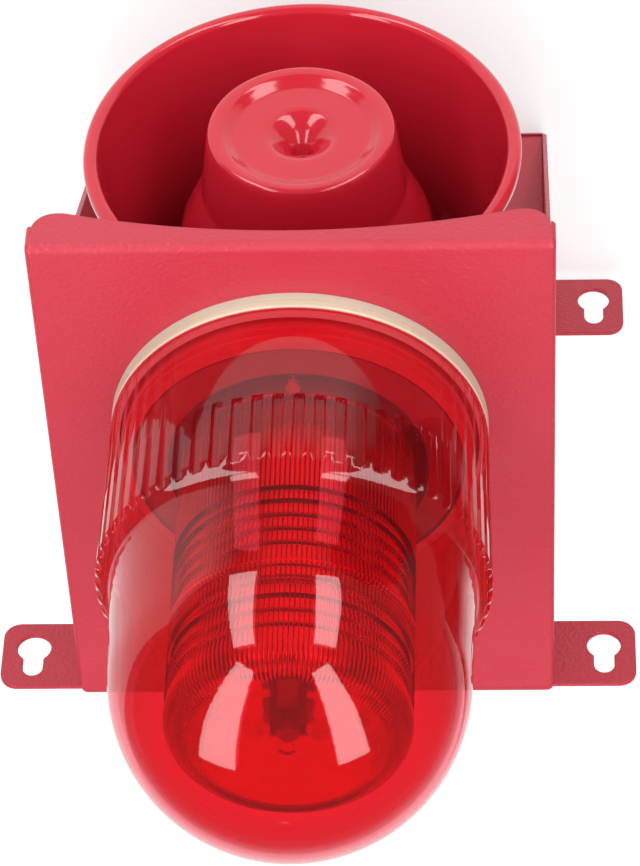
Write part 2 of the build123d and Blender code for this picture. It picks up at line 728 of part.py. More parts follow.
with BuildPart() as transformer_coil:
    with BuildSketch(facing(BOARD_FRONT, x=-24, z=BOARD_Z)):
        RectangleRounded(21.4, 28.0, 2.0)
        Rectangle(8.2, 22.2, mode=Mode.SUBTRACT)
    extrude(amount=15.8)
    fillet(transformer_coil.faces().sort_by(Axis.Y)[0].outer_wire().edges(), radius=1.0)
save(transformer_coil.part, "transformer_coil")

with BuildPart() as capacitors:
    with BuildSketch(facing(BOARD_FRONT, z=BOARD_Z)):
        with Locations((2, -12), (2, 3)):
            Circle(5.0)
        with Locations((13, -15), (13, -6)):
            Circle(3.2)
    extrude(amount=17.0)
    fillet(capacitors.faces().group_by(Axis.Y)[0].edges(), radius=0.8)
save(capacitors.part, "capacitors")

with BuildPart() as tone_chip:
    with BuildSketch(facing(BOARD_FRONT + 0.6, x=14, z=BOARD_Z + 13)):
        Rectangle(19.4, 6.4)
        with Locations((-9.7, 0)):
            Circle(1.0, mode=Mode.SUBTRACT)
    extrude(amount=3.4)
    with BuildSketch(facing(BOARD_FRONT, x=14, z=BOARD_Z + 13)):
        with GridLocations(2.54, 7.2, 7, 2):
            Rectangle(0.8, 0.8)
    extrude(amount=2.0)
save(tone_chip.part, "tone_chip")

with BuildPart() as heat_sink:
    with BuildSketch(facing(BOARD_FRONT, x=32, z=BOARD_Z - 10)):
        with Locations((0, -4.6)):
            Rectangle(20.0, 1.8)
        with GridLocations(4.5, 0, 5, 1):
            Rectangle(1.2, 9.0)
    extrude(amount=22.0)
save(heat_sink.part, "heat_sink")

with BuildPart() as power_transistor:
    with BuildSketch(facing(BOARD_FRONT + 3.0, x=32, z=BOARD_Z - 17.8)):
        Rectangle(10.2, 4.6)
    extrude(amount=15.0)
    with BuildSketch(facing(BOARD_FRONT, x=32, z=BOARD_Z - 17.8)):
        with GridLocations(2.54, 0, 3, 1):
            Rectangle(0.9, 0.6)
    extrude(amount=3.0)
save(power_transistor.part, "power_transistor")

with BuildPart() as terminal_block:
    with BuildSketch(facing(BOARD_FRONT, x=37, z=BOARD_Z + 6)):
        Rectangle(20.0, 8.0)
    extrude(amount=11.0)
    with BuildSketch(facing(BOARD_FRONT + 4.0, x=37, z=BOARD_Z + 6)):
        with GridLocations(5.0, 0, 4, 1):
            Circle(1.9)
    extrude(amount=7.0, mode=Mode.SUBTRACT)
save(terminal_block.part, "terminal_block")

with BuildPart() as terminal_screws:
    with BuildSketch(facing(BOARD_FRONT + 4.0, x=37, z=BOARD_Z + 6)):
        with GridLocations(5.0, 0, 4, 1):
            Circle(1.8)
    extrude(amount=6.0)
save(terminal_screws.part, "terminal_screws")

# ================================================================ grommets and inside wires
LARGEST_BEND = 30.0      # of the inside wires' arcs

with BuildPart() as cable_grommet:
    with BuildSketch(Plane(origin=(40, -30, -TOP_Z - 1.0), x_dir=(1, 0, 0), z_dir=(0, 0, 1))):
        Circle(8.5)
    extrude(amount=4.2)
    with BuildSketch(Plane(origin=(40, -30, -TOP_Z), x_dir=(1, 0, 0), z_dir=(0, 0, 1))):
        Circle(9.0)
        Circle(6.4, mode=Mode.SUBTRACT)
    extrude(amount=SHEET, mode=Mode.SUBTRACT)
    with BuildSketch(Plane(origin=(40, -30, -TOP_Z - 1.0), x_dir=(1, 0, 0), z_dir=(0, 0, 1))):
        Circle(3.5)
    extrude(amount=4.2, mode=Mode.SUBTRACT)
save(cable_grommet.part, "cable_grommet")

with BuildPart() as wire_grommets:
    with BuildSketch(above_shelf(-SHEET - 1.5)):
        Circle(10.8)
        Circle(5.0, mode=Mode.SUBTRACT)
    extrude(amount=1.5)
    with BuildSketch(above_shelf(-SHEET)):
        Circle(8.9)
        Circle(5.0, mode=Mode.SUBTRACT)
    extrude(amount=SHEET)
    with BuildSketch(facing(BOX_DEPTH, x=30, z=70)):
        Circle(5.6)
        Circle(2.4, mode=Mode.SUBTRACT)
    extrude(amount=1.4)
    with BuildSketch(facing(BOX_DEPTH - SHEET - 1.4, x=30, z=70)):
        Circle(3.9)
        Circle(2.4, mode=Mode.SUBTRACT)
    extrude(amount=SHEET + 1.4)
save(wire_grommets.part, "wire_grommets")


def bend_radii(points):
    """Tangent arcs that the runs on each side of every corner leave room for, up to a limit."""
    radii = []
    for before, corner, after in zip(points, points[1:], points[2:]):
        run_in = Vector(corner) - Vector(before)
        run_out = Vector(after) - Vector(corner)
        half_turn = radians(run_in.get_angle(run_out) / 2)
        room = 0.45 * min(run_in.length, run_out.length)
        radii.append(min(room / tan(half_turn), LARGEST_BEND))
    return radii


# twin leads of the beacon and of the horn driver, as corner points of each pair's middle line
beacon_route = [
    (0.0, BEACON_Y, TOP_Z + LED_BOARD),
    (0.0, BEACON_Y, 70.0),
    (30.0, -84.0, 70.0),
    (30.0, -46.0, 70.0),
    (46.0, -38.0, 36.0),
    (46.0, -30.0, -4.0),
    (39.5, -14.0, BOARD_Z + 26.0),
    (39.5, -14.0, BOARD_Z + 10.0),
]
driver_route = [
    (20.0, -COVER_BACK - 2.5, 4.0),
    (20.0, -15.0, 4.0),
    (31.0, -14.0, -14.0),
    (31.0, -14.0, BOARD_Z + 10.0),
]
WIRE_R = 0.8
# each pair of leads: its route and one strand's place beside the middle of the pair
lead_pairs = {
    "beacon_wires": (beacon_route, Vector(1.0, -1.0, 0)),
    "driver_wires": (driver_route, Vector(1.1, 0, 0)),
}

for name, (route, beside) in lead_pairs.items():
    with BuildPart() as leads:
        for shift in (-beside, beside):
            points = [Vector(*point) + shift for point in route]
            radii = bend_radii(points)
            with BuildLine() as strand:
                FilletPolyline(*points, radius=radii)
            with BuildSketch(Plane(origin=strand.line @ 0, z_dir=strand.line % 0)):
                Circle(WIRE_R)
            sweep(path=strand.line)
        print(name, "bend radii", [round(radius, 1) for radius in radii])
    save(leads.part, name)
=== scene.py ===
import json
from math import cos, pi, radians, sin, tau

import bmesh
import bpy
from mathutils import Matrix, Vector


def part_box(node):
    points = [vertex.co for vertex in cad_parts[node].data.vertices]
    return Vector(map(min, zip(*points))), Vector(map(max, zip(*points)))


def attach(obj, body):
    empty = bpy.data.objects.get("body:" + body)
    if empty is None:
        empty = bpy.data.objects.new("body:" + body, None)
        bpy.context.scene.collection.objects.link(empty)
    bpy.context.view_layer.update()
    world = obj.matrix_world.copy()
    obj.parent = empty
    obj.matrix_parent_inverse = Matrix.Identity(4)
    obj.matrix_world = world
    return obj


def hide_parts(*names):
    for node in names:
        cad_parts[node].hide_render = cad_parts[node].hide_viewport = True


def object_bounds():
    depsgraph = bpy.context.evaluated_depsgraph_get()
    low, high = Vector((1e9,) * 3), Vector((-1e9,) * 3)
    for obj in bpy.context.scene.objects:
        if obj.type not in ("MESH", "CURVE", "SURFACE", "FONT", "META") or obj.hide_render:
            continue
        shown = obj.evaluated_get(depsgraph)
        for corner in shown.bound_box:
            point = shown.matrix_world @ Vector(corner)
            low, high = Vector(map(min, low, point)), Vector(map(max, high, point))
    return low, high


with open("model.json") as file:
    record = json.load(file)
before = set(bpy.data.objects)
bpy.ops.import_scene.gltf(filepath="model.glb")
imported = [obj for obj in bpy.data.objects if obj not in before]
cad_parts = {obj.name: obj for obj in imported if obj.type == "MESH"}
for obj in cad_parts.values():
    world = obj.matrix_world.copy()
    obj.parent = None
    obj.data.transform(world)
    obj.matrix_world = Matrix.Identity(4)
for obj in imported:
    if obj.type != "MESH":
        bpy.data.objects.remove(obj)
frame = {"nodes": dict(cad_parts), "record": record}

# Looks of the wall-mounted alarm siren with a beacon. Profiles are in millimetres and the
# Blender objects in metres, in the CAD model's frame: +Z up, wall face at y = 0, front -Y.
MM = 0.001
cad_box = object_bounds()
nodes = frame["nodes"]


# ================================================================ places, from the frame
def middle(node):
    """Middle of a CAD node's box, in metres."""
    low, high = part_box(node)
    return (low + high) / 2


shelf_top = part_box("housing_shell")[1].z
floor_level = cad_box[0].z
beacon_centre = middle("globe")
horn_centre = middle("horn_bell")

# local z of each frame is the height above the shelf, or the distance out from the wall
BEACON = Matrix.Translation((beacon_centre.x, beacon_centre.y, shelf_top))
HORN = Matrix(((1, 0, 0, horn_centre.x), (0, 0, -1, 0), (0, 1, 0, horn_centre.z), (0, 0, 0, 1)))

# ================================================================ dimensions, millimetres
# globe, heights above the shelf
GLOBE_BOTTOM = 4.9
GLOBE_EDGE = 0.4
BEACON_R = 48.1
BORE_R = 44.9
BORE_LEVELS = (36.0, 20.0)
BORE_TOP = 52.0
COLLAR_TOP = 54.0
COLLAR_TOP_R = 49.0
COLLAR_LAST_LEVEL = 53.2
COLLAR_LEVELS = (13.0, 20.0, 27.0)      # mesh rings between the starts of the two groove lengths
WINDOW_LEVELS = (41.0, 47.0)            # and above the start of the short ones
SHOULDER = (                            # radius, and height above COLLAR_TOP
    (48.95, -0.2), (48.5, 0.35), (47.8, 0.95), (45.75, 2.65), (45.2, 3.9), (45.0, 6.0), (44.8, 9.5),
)
SHOULDER_END = (44.7, 12.0)
SHOULDER_IN = (42.6, 3.0)
DOME_R = 44.06
DOME_CENTRE = 84.0
GLOBE_WALL = 2.4
GATE_R = 1.3
GATE_DEPTH = 0.35
RIBS = 60
WINDOW_RIBS = 14
WINDOW_ANGLE = -6.5        # turn of the window from straight in front, degrees
LONG_GROOVE_START = 6.3
SHORT_GROOVE_START = 34.8
GROOVE_END_RISE = 0.03     # half the height of the step at a groove's lower end
GROOVE_FLOOR_R = 47.7
GROOVE_HALF = radians(1.46)
GROOVE_FLAT = 0.85         # share of the half width that is flat floor
GROOVE_EDGE = 1.15         # and where the rounded edge meets the rib
GROOVE_FLOOR_COLUMN = 0.4  # mesh columns on the floor and on the rib, in half widths
GROOVE_RIB_COLUMN = 1.7
# threaded neck of the beacon's base
NECK_R = 44.5
THREAD_START = 6.0
THREAD_END = 12.6
THREAD_PITCH = 2.6
THREAD_HEIGHT = 0.3
THREAD_WIDTH = 1.2
THREAD_ROOT = 0.25         # depth of the ridge's root inside the neck
THREAD_TURN_STEPS = 120
THREAD_FADE_STEPS = 12
# inner drum lens
DRUM_R = 30.0
DRUM_IN_R = 28.0
DRUM_BOTTOM = 13.2
DRUM_FOOT_R = 33.0
DRUM_FOOT_HEIGHT = 2.0
DRUM_TOP = 105.0
DRUM_ROOF = 2.0
DRUM_CORNER_R = 8.0
DRUM_LEVELS = (24.0, 36.0)
DRUM_BAND = (72.0, 73.6)                 # raised band between the rows of prisms
DRUM_BAND_R = 31.0
DRUM_IN_LEVELS = (90.0, 73.0, 60.0, 47.0, 20.0)
DRUM_RIBS = 150
DRUM_RIB_DEPTH = 0.45
DRUM_RIB_END_R = 24.6
DRUM_RIB_FOOT = 2.5                      # height of the ribs' lower ends above DRUM_BOTTOM
DRUM_RIB_STEP = 0.1                      # half the height of the step there
PRISM_ROWS = ((47.5, 5), (77.5, 4))      # lowest edge and number of prisms of each row
PRISM_PITCH = 4.4
PRISM_CORNERS = ((0.0, 0.0), (1.1, 0.6), (0.9, 1.4), (0.1, 3.9))    # depth, and height in the pitch
ROOF_RINGS = (20.0, 14.0, 8.0)
ROOF_RING_WIDTH = 0.8
ROOF_RING_DEPTH = 0.06
ROOF_GATE = ((2.4, 0.0), (1.6, 0.5), (0.0, 0.5))                     # radius and depth
# horn, distances out from the wall
MOUTH = 142.0
MOUTH_R = 57.2
MOUTH_ROUND = 2.0
BELL_INSIDE = ((50.6, 127.0), (47.4, 112.0), (45.0, 95.0))           # radius and distance
BELL_OUTSIDE = ((47.2, 95.0), (49.6, 112.0), (52.9, 127.0))
BELL_BACK = 64.5
BELL_FLOOR = 67.0
BELL_BACK_R = 43.0
BELL_WALL = 2.2
BELL_BACK_CORNER = 3.0     # rise and run of the slope between the bell's inside and its floor
BELL_FLOOR_R = 26.0
BELL_FOOT = ((1.6, 0.0), (0.5, 1.2))     # steps out from the bell's foot and up from BELL_BACK
BELL_LIP = ((1.0, 5.0), (0.1, 3.4))      # steps in from MOUTH_R and back from MOUTH
THROAT_R = 9.5
HORN_FLANGE_R = 53.5
HORN_FLANGE = 3.0
HORN_FLANGE_EDGE = 0.4
HORN_SPIGOT_R = 44.0
PLUG_FACE = 147.8
PLUG_R = 24.6
CUP_BACK = 80.0
CUP_BACK_R = 36.0
CUP_WALL = 2.0
CUP_OUTSIDE = ((35.3, 96.0), (33.6, 112.0), (30.2, 121.0))           # radius and distance
CUP_INSIDE = ((28.2, 121.0), (31.6, 112.0), (33.3, 96.0))
CUP_SHOULDER = (2.4, 20.0)               # steps out from PLUG_R and back from PLUG_FACE
PLUG_SIDE = ((2.3, 19.0), (0.25, 2.6))
PLUG_IN = (0.4, 20.0)
DISH = 2.1
NOSE = (                                 # steps in from PLUG_R and back from PLUG_FACE
    (0.0, 1.6), (0.5, 0.45), (1.8, 0.0), (3.6, 0.25), (5.0, DISH / 2), (6.8, DISH),
)
DISH_FLAT_R = (17.0, 10.8)
FUNNEL = ((10.0, 0.05), (8.4, 0.6), (5.6, 2.6), (2.9, 5.4), (1.7, 7.6))  # radius, depth in the dish
FUNNEL_TIP = ((1.0, 8.4), (0.0, 8.4))
FUNNEL_INSIDE = ((0.0, 10.4), (3.2, 10.4), (7.6, 3.6), (12.0, 2.2), (21.0, 2.2))
LEGS = 3
LEG_AT_R = 34.0
LEG_R = 2.7
LEG_END = 82.0
LEG_WEB = (3.0, 7.0, 15.0)


# ================================================================ profile helpers
def arc(centre, radius, start, end, steps):
    """Points on a circle's arc, with angles in degrees."""
    turn = radians(end - start)
    first = radians(start)
    return [
        (
            centre[0] + radius * cos(first + turn * i / steps),
            centre[1] + radius * sin(first + turn * i / steps),
        )
        for i in range(steps + 1)
    ]


def smooth_line(points, steps):
    """Points on a Catmull-Rom curve through the given points."""
    ends = [
        (2 * points[0][0] - points[1][0], 2 * points[0][1] - points[1][1]),
        (2 * points[-1][0] - points[-2][0], 2 * points[-1][1] - points[-2][1]),
    ]
    chain = [ends[0], *points, ends[1]]
    line = []
    for a, b, c, d in zip(chain, chain[1:], chain[2:], chain[3:]):
        for i in range(steps):
            t = i / steps
            line.append(
                tuple(
                    0.5
                    * (
                        2 * b[k]
                        + (c[k] - a[k]) * t
                        + (2 * a[k] - 5 * b[k] + 4 * c[k] - d[k]) * t * t
                        + (3 * b[k] - a[k] - 3 * c[k] + d[k]) * t * t * t
                    )
                    for k in (0, 1)
                )
            )
    return line + [points[-1]]


def straight(start, end, steps):
    """Points on a straight run, both ends included."""
    return [
        (
            start[0] + (end[0] - start[0]) * i / steps,
            start[1] + (end[1] - start[1]) * i / steps,
        )
        for i in range(steps + 1)
    ]


# ================================================================ mesh helpers
def piece(name, bm, place, body, slot, crease):
    """Makes a shown piece from a bmesh in millimetres and hangs it on a body.

    Edges that fold by more than crease, in degrees, stay sharp."""
    bmesh.ops.remove_doubles(bm, verts=bm.verts, dist=1e-4)
    bmesh.ops.recalc_face_normals(bm, faces=bm.faces)
    limit = radians(crease)
    for face in bm.faces:
        face.smooth = True
    for edge in bm.edges:
        edge.smooth = len(edge.link_faces) == 2 and edge.calc_face_angle(0) < limit
    mesh = bpy.data.meshes.new(name)
    bm.to_mesh(mesh)
    bm.free()
    mesh.transform(place @ Matrix.Scale(MM, 4))
    made = bpy.data.objects.new(name, mesh)
    bpy.context.scene.collection.objects.link(made)
    made.data.materials.append(finishes[slot])
    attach(made, body)
    return made


def lathe(profile, angles, radius_at=None):
    """Revolves a closed profile of (radius, height) points round local z.

    radius_at, if given, returns the radius of a point from its radius, height and angle."""
    bm = bmesh.new()
    rings = []
    for radius, height in profile:
        if radius < 1e-6:
            rings.append([bm.verts.new((0, 0, height))] * len(angles))
            continue
        ring = []
        for angle in angles:
            r = radius_at(radius, height, angle) if radius_at else radius
            ring.append(bm.verts.new((r * cos(angle), r * sin(angle), height)))
        rings.append(ring)
    count = len(angles)
    for lower, upper in zip(rings, rings[1:] + rings[:1]):
        for i in range(count):
            j = (i + 1) % count
            corners = []
            for vert in (lower[i], lower[j], upper[j], upper[i]):
                if vert not in corners:
                    corners.append(vert)
            if len(corners) > 2:
                bm.faces.new(corners)
    return bm


def even_angles(count):
    """Angles all the way round, evenly spaced."""
    return [tau * i / count for i in range(count)]


# ================================================================ materials
def tree_of(name):
    """A new material, its node tree and its Principled shader."""
    made = bpy.data.materials.new(name)
    made.use_nodes = True
    tree = made.node_tree
    return made, tree, tree.nodes["Principled BSDF"]


def noise(tree, scale, detail=3.0, rough=0.55):
    """Noise over the object's own coordinates; scale is in features per metre."""
    place = tree.nodes.new("ShaderNodeTexCoord")
    made = tree.nodes.new("ShaderNodeTexNoise")
    made.inputs["Scale"].default_value = scale
    made.inputs["Detail"].default_value = detail
    made.inputs["Roughness"].default_value = rough
    tree.links.new(place.outputs["Object"], made.inputs["Vector"])
    return made.outputs["Fac"]


def spread(tree, source, low, high, start=0.3, end=0.7):
    """Remaps a value between two limits."""
    made = tree.nodes.new("ShaderNodeMapRange")
    made.inputs["From Min"].default_value = start
    made.inputs["From Max"].default_value = end
    made.inputs["To Min"].default_value = low
    made.inputs["To Max"].default_value = high
    tree.links.new(source, made.inputs["Value"])
    return made.outputs["Result"]


def tint(tree, source, first, second):
    """Mixes two colours by a value."""
    made = tree.nodes.new("ShaderNodeMix")
    made.data_type = "RGBA"
    made.inputs["A"].default_value = (*first, 1)
    made.inputs["B"].default_value = (*second, 1)
    tree.links.new(source, made.inputs["Factor"])
    return made.outputs["Result"]


def bump(tree, shader, layers, rounding=0.0):
    """Stacks bumps of (height source, depth in metres) and, if asked, rounds sharp edges."""
    under = None
    if rounding:
        soft = tree.nodes.new("ShaderNodeBevel")
        soft.samples = 4
        soft.inputs["Radius"].default_value = rounding
        under = soft.outputs["Normal"]
    for source, depth in layers:
        made = tree.nodes.new("ShaderNodeBump")
        made.inputs["Strength"].default_value = 1.0
        made.inputs["Distance"].default_value = depth
        tree.links.new(source, made.inputs["Height"])
        if under:
            tree.links.new(under, made.inputs["Normal"])
        under = made.outputs["Normal"]
    if under:
        tree.links.new(under, shader.inputs["Normal"])


def surface(name, light, dark, rough, grain, layers=(), rounding=0.0, coat=0.0):
    """A finish with mottled colour, varied roughness and fine bumps.

    grain is the scale of the mottling; layers are (scale, depth) pairs of noise bumps."""
    made, tree, shader = tree_of(name)
    colour = tint(tree, spread(tree, noise(tree, grain), 0, 1), dark, light)
    tree.links.new(colour, shader.inputs["Base Color"])
    varied = noise(tree, grain * 3.1, 4.0)
    tree.links.new(spread(tree, varied, rough * 0.85, rough * 1.15), shader.inputs["Roughness"])
    shader.inputs["Coat Weight"].default_value = coat
    shader.inputs["Coat Roughness"].default_value = 0.12
    bump(tree, shader, [(noise(tree, scale, 2.0), depth) for scale, depth in layers], rounding)
    return made


def red_paint():
    """Satin powder paint: orange peel, faint dust specks and softened sheet edges."""
    made, tree, shader = tree_of("red_powder_paint")
    mottle = noise(tree, 14.0, 2.0)
    colour = tint(tree, spread(tree, mottle, 0, 1), (0.44, 0.025, 0.045), (0.47, 0.029, 0.051))
    tree.links.new(colour, shader.inputs["Base Color"])
    tree.links.new(spread(tree, noise(tree, 60.0), 0.30, 0.40), shader.inputs["Roughness"])
    peel = noise(tree, 900.0, 1.0, 0.4)
    grit = noise(tree, 2600.0, 1.0, 0.5)
    bump(tree, shader, [(peel, 0.00022), (grit, 0.00004)], rounding=0.0007)
    return made


def red_plastic():
    """Gloss ABS of the horn: slow moulding ripple and a fine skin."""
    made, tree, shader = tree_of("red_gloss_plastic")
    mottle = noise(tree, 20.0, 2.0)
    colour = tint(tree, spread(tree, mottle, 0, 1), (0.50, 0.012, 0.027), (0.54, 0.015, 0.032))
    tree.links.new(colour, shader.inputs["Base Color"])
    tree.links.new(spread(tree, noise(tree, 90.0), 0.08, 0.13), shader.inputs["Roughness"])
    shader.inputs["Coat Weight"].default_value = 0.3
    shader.inputs["Coat Roughness"].default_value = 0.08
    ripple = noise(tree, 55.0, 1.0, 0.4)
    skin = noise(tree, 1500.0, 1.0, 0.5)
    bump(tree, shader, [(ripple, 0.00035), (skin, 0.00001)], rounding=0.0003)
    return made


def sheen_share(tree, head_on):
    """Share of light that a clear wall mirrors, by Schlick's rule, the same on both sides."""
    glance = tree.nodes.new("ShaderNodeLayerWeight")
    glance.inputs["Blend"].default_value = 0.5
    fifth = tree.nodes.new("ShaderNodeMath")
    fifth.operation = "POWER"
    fifth.inputs[1].default_value = 5.0
    tree.links.new(glance.outputs["Facing"], fifth.inputs[0])
    return spread(tree, fifth.outputs["Value"], head_on, 1.0, 0.0, 1.0)


def clear_red():
    """Clear red globe: light passes straight through the thin wall, tinted at each face.

    A small share is scattered by the plastic itself, and the skin mirrors the lights."""
    made, tree, body = tree_of("red_clear_plastic")
    cloud = spread(tree, noise(tree, 35.0, 2.0), 0, 1)
    milk = tint(tree, cloud, (0.55, 0.004, 0.010), (0.62, 0.008, 0.016))
    tree.links.new(milk, body.inputs["Base Color"])
    body.inputs["Roughness"].default_value = 0.4
    body.inputs["Specular IOR Level"].default_value = 0.0
    passing = tree.nodes.new("ShaderNodeBsdfTransparent")
    shade = tint(tree, cloud, (0.965, 0.33, 0.40), (0.955, 0.29, 0.36))
    tree.links.new(shade, passing.inputs["Color"])
    gloss = tree.nodes.new("ShaderNodeBsdfGlossy")
    gloss.inputs["Color"].default_value = (1, 1, 1, 1)
    tree.links.new(spread(tree, noise(tree, 120.0), 0.025, 0.045), gloss.inputs["Roughness"])
    bump(tree, gloss, [(noise(tree, 70.0, 1.0, 0.4), 0.00008)])
    inside = tree.nodes.new("ShaderNodeMixShader")
    inside.inputs["Fac"].default_value = 0.93
    tree.links.new(body.outputs["BSDF"], inside.inputs[1])
    tree.links.new(passing.outputs["BSDF"], inside.inputs[2])
    skin = tree.nodes.new("ShaderNodeMixShader")
    tree.links.new(sheen_share(tree, 0.045), skin.inputs["Fac"])
    tree.links.new(inside.outputs["Shader"], skin.inputs[1])
    tree.links.new(gloss.outputs["BSDF"], skin.inputs[2])
    tree.links.new(skin.outputs["Shader"], tree.nodes["Material Output"].inputs["Surface"])
    return made


def prism_red():
    """Moulded red lens that bends the light through its prisms and ribs."""
    made, tree, shader = tree_of("red_prism_plastic")
    cloud = spread(tree, noise(tree, 50.0, 2.0), 0, 1)
    colour = tint(tree, cloud, (0.97, 0.16, 0.20), (0.985, 0.21, 0.25))
    tree.links.new(colour, shader.inputs["Base Color"])
    shader.inputs["Transmission Weight"].default_value = 1.0
    shader.inputs["IOR"].default_value = 1.5
    tree.links.new(spread(tree, noise(tree, 200.0), 0.08, 0.14), shader.inputs["Roughness"])
    return made


def metal(name, light, dark, rough):
    """Plated or bare metal with a fine uneven skin."""
    made, tree, shader = tree_of(name)
    colour = tint(tree, spread(tree, noise(tree, 160.0), 0, 1), dark, light)
    tree.links.new(colour, shader.inputs["Base Color"])
    shader.inputs["Metallic"].default_value = 1.0
    varied = spread(tree, noise(tree, 400.0), rough * 0.8, rough * 1.3)
    tree.links.new(varied, shader.inputs["Roughness"])
    bump(tree, shader, [(noise(tree, 700.0, 4.0, 0.7), 0.00003)], rounding=0.0002)
    return made


finishes = {
    "red_paint": red_paint(),
    "red_plastic": red_plastic(),
    "red_lens": clear_red(),
    "cream_plastic": surface(
        "cream_plastic", (0.66, 0.62, 0.46), (0.62, 0.58, 0.43), 0.30, 40.0,
        layers=[(900, 0.00002)], rounding=0.0003,
    ),
    "cream_rubber": surface(
        "cream_rubber", (0.64, 0.63, 0.49), (0.60, 0.59, 0.455), 0.60, 60.0,
        layers=[(1200, 0.00004)], rounding=0.0003,
    ),
    "rubber": surface(
        "black_rubber", (0.035, 0.035, 0.036), (0.022, 0.022, 0.023), 0.62, 90.0,
        layers=[(1400, 0.00004)], rounding=0.0003,
    ),
    "zinc_steel": metal("zinc_plated_steel", (0.66, 0.66, 0.64), (0.52, 0.52, 0.50), 0.28),
    "dark_plastic": surface(
        "dark_plastic", (0.040, 0.040, 0.044), (0.028, 0.028, 0.030), 0.45, 80.0,
        layers=[(1500, 0.00003)], rounding=0.0003,
    ),
    "ferrite": surface(
        "ferrite", (0.085, 0.085, 0.092), (0.055, 0.055, 0.060), 0.55, 300.0,
        layers=[(2500, 0.00003)], rounding=0.0003,
    ),
    "film": surface(
        "phenolic_film", (0.40, 0.25, 0.09), (0.32, 0.19, 0.06), 0.35, 200.0,
        layers=[(800, 0.00002)],
    ),
    "copper": metal("enamelled_copper", (0.66, 0.30, 0.13), (0.54, 0.22, 0.09), 0.30),
    "board": surface(
        "solder_resist", (0.025, 0.19, 0.08), (0.018, 0.14, 0.06), 0.35, 120.0,
        layers=[(1800, 0.00002)], coat=0.4,
    ),
    "led": surface(
        "led_resin", (0.30, 0.27, 0.16), (0.22, 0.19, 0.10), 0.25, 300.0,
        layers=[(900, 0.00001)],
    ),
    "coil_tape": surface(
        "coil_tape", (0.78, 0.66, 0.12), (0.70, 0.56, 0.08), 0.40, 150.0,
        layers=[(500, 0.00004)],
    ),
    "capacitor_sleeve": surface(
        "capacitor_sleeve", (0.035, 0.045, 0.12), (0.025, 0.032, 0.09), 0.25, 120.0,
        layers=[(700, 0.00002)],
    ),
    "aluminium": metal("extruded_aluminium", (0.78, 0.78, 0.79), (0.66, 0.66, 0.67), 0.32),
    "green_plastic": surface(
        "green_plastic", (0.06, 0.33, 0.14), (0.04, 0.26, 0.10), 0.38, 90.0,
        layers=[(1200, 0.00003)], rounding=0.0002,
    ),
    "wire": surface(
        "wire_insulation", (0.62, 0.035, 0.035), (0.52, 0.025, 0.025), 0.30, 150.0,
        layers=[(900, 0.00002)],
    ),
}

prism_finish = prism_red()
lamp_board_finish = surface(
    "pale_solder_resist", (0.30, 0.28, 0.25), (0.25, 0.23, 0.21), 0.40, 150.0,
    layers=[(1800, 0.00002)],
)
slot_of = {row["node"]: row["material_slot"] for row in frame["record"]["subparts"]}
for name, shown in nodes.items():
    shown.data.materials.clear()
    shown.data.materials.append(finishes[slot_of[name]])
nodes["led_board"].data.materials[0] = lamp_board_finish
nodes["globe_seal"].data.materials[0] = finishes["cream_rubber"]

# ================================================================ globe
pitch = tau / RIBS
window_first = radians(-90 + WINDOW_ANGLE) - (WINDOW_RIBS - 1) * pitch / 2


def groove_columns():
    """Angles of the globe's mesh columns, closer together at each groove's edges."""
    half = [GROOVE_FLAT + (GROOVE_EDGE - GROOVE_FLAT) * i / 3 for i in range(4)]
    floor_columns = [-GROOVE_FLOOR_COLUMN, 0.0, GROOVE_FLOOR_COLUMN]
    across = [-u for u in reversed(half)] + floor_columns + half + [GROOVE_RIB_COLUMN]
    return [
        window_first + pitch * rib + GROOVE_HALF * step
        for rib in range(RIBS)
        for step in across
    ]


def grooved(radius, height, angle):
    """Outer radius of the globe with its grip grooves cut in."""
    from_first = (angle - window_first) / pitch
    rib = round(from_first)
    start = SHORT_GROOVE_START if rib % RIBS < WINDOW_RIBS else LONG_GROOVE_START
    across = abs(from_first - rib) * pitch / GROOVE_HALF
    if not start < height < DOME_CENTRE or radius < GROOVE_FLOOR_R:
        return radius
    into = min(max((GROOVE_EDGE - across) / (GROOVE_EDGE - GROOVE_FLAT), 0.0), 1.0)
    return radius - (radius - GROOVE_FLOOR_R) * into * into * (3 - 2 * into)


def globe_profile():
    """Closed wall of the globe: up the outside, over the dome and down the inside."""
    outside = [
        (BORE_R, GLOBE_BOTTOM), (BEACON_R - GLOBE_EDGE, GLOBE_BOTTOM),
        (BEACON_R, GLOBE_BOTTOM + GLOBE_EDGE),
    ]
    slope = (COLLAR_TOP_R - BEACON_R) / (COLLAR_TOP - GLOBE_BOTTOM)
    levels = [
        LONG_GROOVE_START - GROOVE_END_RISE, LONG_GROOVE_START + GROOVE_END_RISE, *COLLAR_LEVELS,
        SHORT_GROOVE_START - GROOVE_END_RISE, SHORT_GROOVE_START + GROOVE_END_RISE, *WINDOW_LEVELS,
        COLLAR_LAST_LEVEL,
    ]
    outside += [(BEACON_R + slope * (level - GLOBE_BOTTOM), level) for level in levels]
    # rounded shoulder between collar and dome
    outside += smooth_line([(radius, COLLAR_TOP + up) for radius, up in SHOULDER], 7)
    outside += straight(
        (SHOULDER_END[0], COLLAR_TOP + SHOULDER_END[1]), (DOME_R, DOME_CENTRE), 4
    )
    outside += arc((0, DOME_CENTRE), DOME_R, 3, 87, 28)
    # gate mark on the tip
    tip = DOME_CENTRE + DOME_R
    outside += [(GATE_R, tip - 0.02), (GATE_R - 0.3, tip - GATE_DEPTH), (0, tip - GATE_DEPTH)]
    inside_r = DOME_R - GLOBE_WALL
    inside = [(0, DOME_CENTRE + inside_r)]
    inside += arc((0, DOME_CENTRE), inside_r, 87, 0, 20)
    inside += [(SHOULDER_IN[0], COLLAR_TOP + SHOULDER_IN[1])]
    inside += [(BORE_R, level) for level in (BORE_TOP, *BORE_LEVELS)]
    return outside + inside


